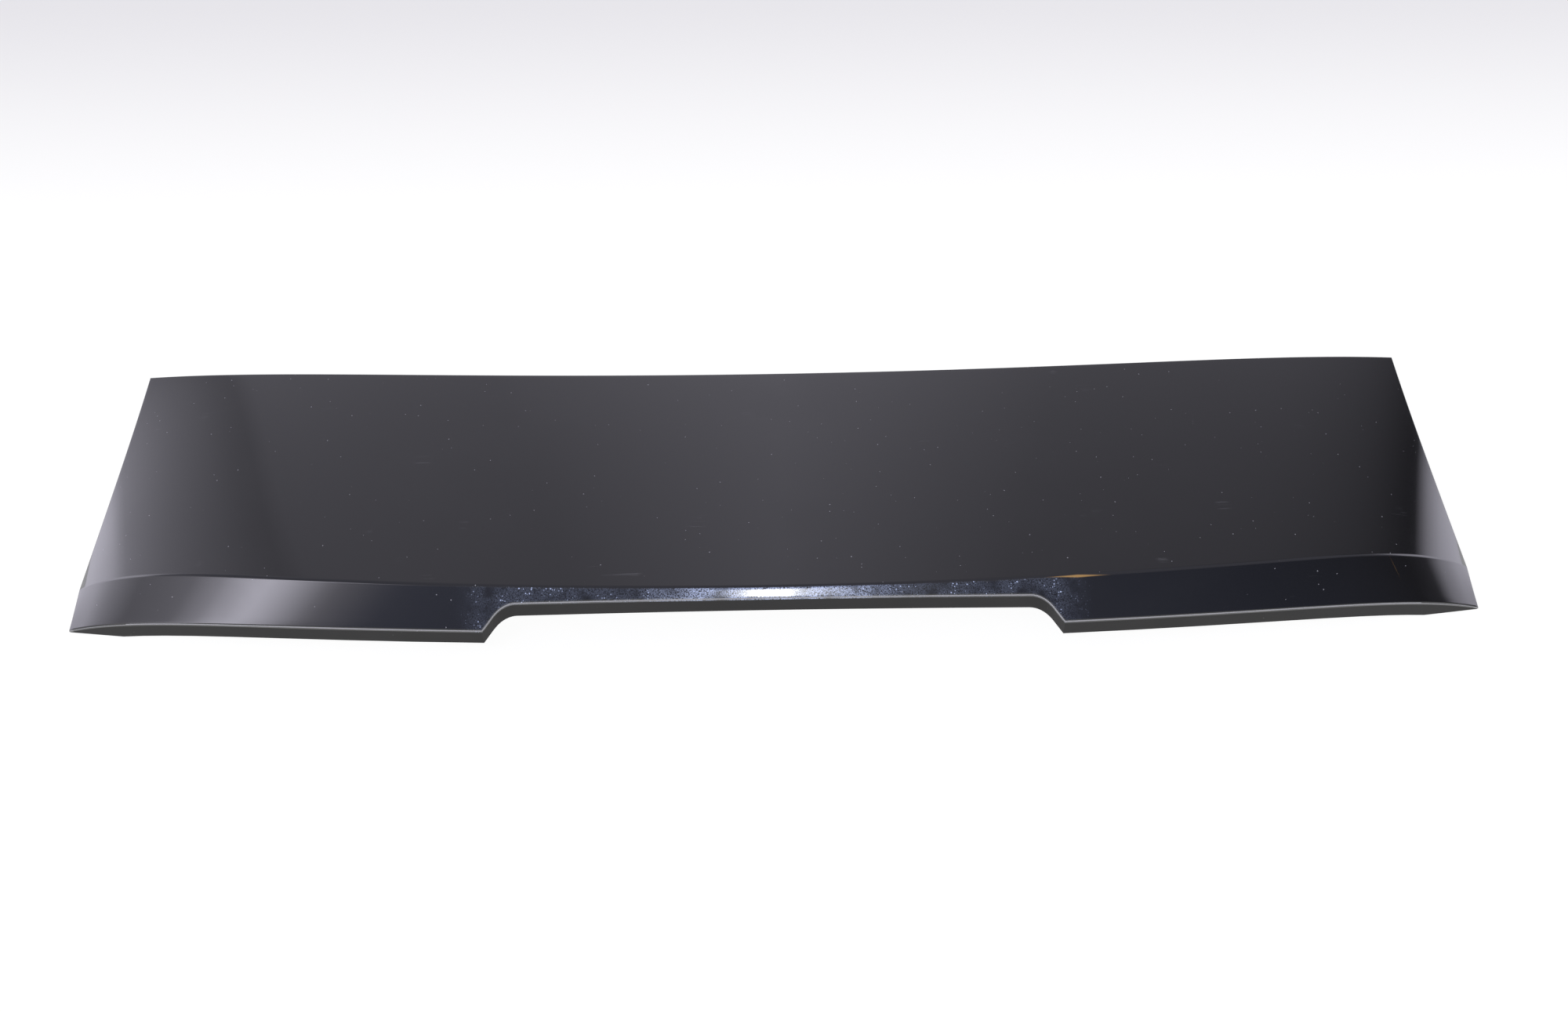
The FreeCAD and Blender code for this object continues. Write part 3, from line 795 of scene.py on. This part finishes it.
def add_piece(
    name: str, bm: bmesh.types.BMesh, material: bpy.types.Material, wall: float
) -> bpy.types.Object:
    """Turns an open bmesh shell into a piece that rides on the part.

    Args:
        name: The piece's name.
        bm: The shape, which is freed.
        material: Its finish.
        wall: Thickness given to the shell, inwards.

    Returns:
        The new object.
    """
    mesh = bpy.data.meshes.new(name)
    bm.to_mesh(mesh)
    bm.free()
    mesh.materials.append(material)
    piece = bpy.data.objects.new(name, mesh)
    bpy.context.scene.collection.objects.link(piece)
    thick = piece.modifiers.new("wall", "SOLIDIFY")
    thick.thickness = wall
    thick.offset = -1.0
    shading = piece.modifiers.new("flat_faces_lead", "WEIGHTED_NORMAL")
    shading.mode = "FACE_AREA"
    shading.weight = FLAT_FACES_LEAD
    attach(piece, "root")
    LOG.info("made %s with %d faces", name, len(mesh.polygons))
    return piece


def dress(node: Node, material: bpy.types.Material) -> None:
    """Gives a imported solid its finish."""
    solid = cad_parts[node.value]
    solid.data.materials.clear()
    solid.data.materials.append(material)
    LOG.info("dressed %s", node.value)


# Stage


@dataclass(frozen=True)
class Screen:
    """One upright edge of the surroundings: its azimuth from the front, and its brightness."""

    azimuth: float
    level: float
    tint: Colour = (1.0, 0.975, 1.12)


NAVY = (0.86, 0.92, 1.28)
LEFT_SIDE = (
    Screen(-180.0, 0.24, NAVY),
    Screen(-150.0, 0.34, NAVY),
    Screen(-144.0, 0.9),
    Screen(-136.0, 5.6),
    Screen(-128.0, 2.3),
    Screen(-121.0, 1.15),
    Screen(-100.0, 0.85),
    Screen(-84.0, 1.7),
    Screen(-74.0, 2.6),
    Screen(-47.0, 1.8),
    Screen(-44.0, 1.0),
    Screen(-27.0, 0.5),
    Screen(-22.6, 0.32),
    Screen(-21.0, 0.45),
    Screen(-10.0, 0.40),
)
RIGHT_SIDE = (
    Screen(0.0, 0.62),
    Screen(10.0, 0.35),
    Screen(20.0, 0.29),
    Screen(32.0, 0.16),
    Screen(42.2, 0.03),
    Screen(45.0, 0.85),
    Screen(48.0, 1.4),
    Screen(70.0, 2.0),
    Screen(80.0, 1.4),
    Screen(88.0, 0.15),
    Screen(100.0, 0.08),
    Screen(140.0, 0.17, NAVY),
    Screen(165.0, 0.29, NAVY),
)


@dataclass
class Studio:
    """Floor, surroundings, flash and camera."""

    target: Vector = field(default_factory=lambda: Vector((9.66 * MM, -5.07 * MM, 0.0)))
    distance: float = 1639.0 * MM
    elevation: float = math.radians(45.0)
    roll: float = -0.0166
    focal_px: float = 2480.0
    sensor: float = 36.0
    floor_half: float = 6.0
    floor_colour: Colour = (0.90, 0.90, 0.90)
    floor_lift: float = 0.86
    floor_glow: float = 1.1
    # Grey of the painted shade far beyond the part
    far_shade_colour: Colour = (0.72, 0.71, 0.74)
    far_shade_start: Ease = Ease(0.30, 0.95)
    far_shade_end: Ease = Ease(2.2, 1.1)
    brightest: float = 6.0
    ceiling: Colour = (0.38, 0.38, 0.46)
    overhead: Ease = Ease(0.79, 0.88)
    side_height: Ease = Ease(0.68, 0.76)
    side_out: Ease = Ease(0.25, 0.40)
    side_ahead: Ease = Ease(-0.15, 0.05)
    low_strip: float = 0.9
    strip_height: Ease = Ease(0.60, 0.50)
    strip_behind: Ease = Ease(-0.25, -0.50)
    flash_place: tuple[float, float, float] = (-0.006, -1.232, 1.087)
    flash_size: tuple[float, float] = (0.07, 0.05)
    flash_power: float = 2.4

    def build_camera(self) -> None:
        """Places the camera where the photograph was taken from."""
        data = bpy.data.cameras.new("camera")
        data.sensor_fit = "HORIZONTAL"
        data.sensor_width = self.sensor
        data.lens = self.sensor * self.focal_px / PHOTO_WIDTH_PX
        camera = bpy.data.objects.new("camera", data)
        back = Vector((0.0, -math.cos(self.elevation), math.sin(self.elevation)))
        tilt = Matrix.Rotation(math.pi / 2 - self.elevation, 4, "X")
        roll = Matrix.Rotation(self.roll, 4, "Z")
        camera.matrix_world = Matrix.Translation(self.target + back * self.distance) @ tilt @ roll
        bpy.context.scene.collection.objects.link(camera)
        bpy.context.scene.camera = camera

    def floor_share(self, nodes: Nodes) -> bpy.types.NodeSocket:
        """How much of the floor's white glow a ray sees.

        Args:
            nodes: The floor's node tree.

        Returns:
            The lift for rays from the camera, mirrored rays and clear ones, and 0 for others.
        """
        path = nodes.add("ShaderNodeLightPath")
        mirrored = nodes.math(
            "MAXIMUM", path.outputs["Is Glossy Ray"], path.outputs["Is Transmission Ray"]
        )
        seen = nodes.math("MAXIMUM", path.outputs["Is Camera Ray"], mirrored)
        return nodes.math("MULTIPLY", seen, self.floor_lift)

    def build_floor(self) -> None:
        """Lays a white floor that keeps the part's shadow, with painted shade making it greyer in a band
        far beyond the part.
        """
        material = bpy.data.materials.new("floor")
        material.use_nodes = True
        nodes = Nodes(material.node_tree)
        out = nodes.add("ShaderNodeOutputMaterial")
        paper = nodes.add("ShaderNodeBsdfDiffuse")
        paper.inputs["Color"].default_value = (*self.floor_colour, 1.0)
        _, y, _ = nodes.split(nodes.place())
        # Greyer in a band far beyond the part: painted shade, the light falling away on the backdrop
        far = nodes.math("MULTIPLY", nodes.ramp(y, self.far_shade_start), nodes.ramp(y, self.far_shade_end))
        white = nodes.add("ShaderNodeEmission")
        white.inputs["Strength"].default_value = self.floor_glow
        nodes.join(nodes.blend(far, WHITE, self.far_shade_colour), white.inputs["Color"])
        mixed = nodes.add("ShaderNodeMixShader")
        nodes.join(self.floor_share(nodes), mixed.inputs["Fac"])
        nodes.join(paper.outputs["BSDF"], mixed.inputs[1])
        nodes.join(white.outputs["Emission"], mixed.inputs[2])
        nodes.join(mixed.outputs["Shader"], out.inputs["Surface"])
        bm = bmesh.new()
        bmesh.ops.create_grid(bm, x_segments=1, y_segments=1, size=self.floor_half)
        mesh = bpy.data.meshes.new("floor")
        bm.to_mesh(mesh)
        bm.free()
        mesh.materials.append(material)
        floor = bpy.data.objects.new("floor", mesh)
        bpy.context.scene.collection.objects.link(floor)

    def surroundings(self, nodes: Nodes, azimuth: bpy.types.NodeSocket) -> bpy.types.NodeSocket:
        """Colours the screens round the part by azimuth.

        Args:
            nodes: The world's node tree.
            azimuth: Azimuth from the front, in radians.

        Returns:
            The colour, as a share of the brightest.
        """
        turn = nodes.math("ADD", nodes.math("DIVIDE", azimuth, math.tau), 0.5)
        ring = nodes.add("ShaderNodeValToRGB")
        nodes.join(turn, ring.inputs["Fac"])
        stops = ring.color_ramp.elements
        screens = (*LEFT_SIDE, *RIGHT_SIDE, Screen(180.0, LEFT_SIDE[0].level, NAVY))
        for screen in screens[1:-1]:
            stops.new(screen.azimuth / 360.0 + 0.5)
        for stop, screen in zip(stops, screens):
            stop.position = screen.azimuth / 360.0 + 0.5
            stop.color = (*(screen.level * part / self.brightest for part in screen.tint), 1.0)
        return ring.outputs["Color"]

    def build_world(self) -> None:
        """Surrounds the part with soft screens, darker on the right and behind the camera."""
        world = bpy.data.worlds.new("studio")
        world.use_nodes = True
        bpy.context.scene.world = world
        nodes = Nodes(world.node_tree)
        out = nodes.add("ShaderNodeOutputWorld")
        x, y, z = nodes.split(nodes.place("Generated"))
        ring = self.surroundings(nodes, nodes.math("ARCTAN2", x, y))
        beside = nodes.ramp(nodes.math("ABSOLUTE", x), self.side_out)
        outward = nodes.math("MULTIPLY", beside, nodes.ramp(y, self.side_ahead))
        above_sides = nodes.math("MULTIPLY", nodes.ramp(z, self.side_height), outward)
        roof = nodes.math("MAXIMUM", nodes.ramp(z, self.overhead), above_sides)
        low = nodes.ramp(z, self.strip_height)
        strip_share = nodes.math("MULTIPLY", low, nodes.ramp(y, self.strip_behind))
        strip_level = self.low_strip / self.brightest
        lower = nodes.blend(strip_share, ring, (strip_level, strip_level, strip_level))
        dome = nodes.blend(roof, lower, tuple(part / self.brightest for part in self.ceiling))
        studio = nodes.add("ShaderNodeBackground")
        studio.inputs["Strength"].default_value = self.brightest
        nodes.join(dome, studio.inputs["Color"])
        plain = nodes.add("ShaderNodeBackground")
        plain.inputs["Color"].default_value = (*WHITE, 1.0)
        path = nodes.add("ShaderNodeLightPath")
        mixed = nodes.add("ShaderNodeMixShader")
        nodes.join(path.outputs["Is Camera Ray"], mixed.inputs["Fac"])
        nodes.join(studio.outputs["Background"], mixed.inputs[1])
        nodes.join(plain.outputs["Background"], mixed.inputs[2])
        nodes.join(mixed.outputs["Shader"], out.inputs["Surface"])

    def build_flash(self) -> None:
        """Hangs the small soft flash that faces the part."""
        data = bpy.data.lights.new("flash", "AREA")
        data.shape = "ELLIPSE"
        data.size, data.size_y = self.flash_size
        data.energy = self.flash_power
        light = bpy.data.objects.new("flash", data)
        spot = Vector(self.flash_place)
        facing = spot.to_track_quat("Z", "Y").to_matrix().to_4x4()
        light.matrix_world = Matrix.Translation(spot) @ facing
        light.visible_camera = False
        bpy.context.scene.collection.objects.link(light)

    def build(self) -> None:
        """Sets the whole stage."""
        bpy.context.scene.view_settings.view_transform = "Standard"
        self.build_camera()
        self.build_floor()
        self.build_world()
        self.build_flash()


def main() -> None:
    """Builds every piece, dresses the solids and sets the stage."""
    logging.basicConfig(level=logging.INFO, format="%(name)s: %(message)s")
    dust, scratches = dust_group(), scratch_group()
    surface = ShowSurface()
    paint = GlossPaint().build(dust, scratches, surface)
    PaintedSkin(surface).build(paint)
    moulded = MouldedFinish(
        "moulded_black", (0.0085, 0.0080, 0.0082), (0.0135, 0.0128, 0.0130), roughness=0.28, ior=1.38
    )
    steel = MouldedFinish(
        Slot.STEEL.value, (0.55, 0.53, 0.47), (0.62, 0.6, 0.55), roughness=0.28, metallic=1.0
    )
    foam = MouldedFinish(
        Slot.FOAM.value, (0.02, 0.02, 0.021), (0.032, 0.032, 0.033),
        roughness=0.85, grain_scale=2200.0, grain_height=0.6,
    )
    nylon = MouldedFinish(Slot.NYLON.value, (0.74, 0.72, 0.65), (0.8, 0.78, 0.72), roughness=0.42)
    dress(Node.PANEL, moulded.build(dust))
    dress(Node.STUDS, steel.build(dust))
    dress(Node.SEALS, foam.build(dust))
    dress(Node.CLIPS, nylon.build(dust))
    Studio().build()


if __name__ == "__main__":
    main()
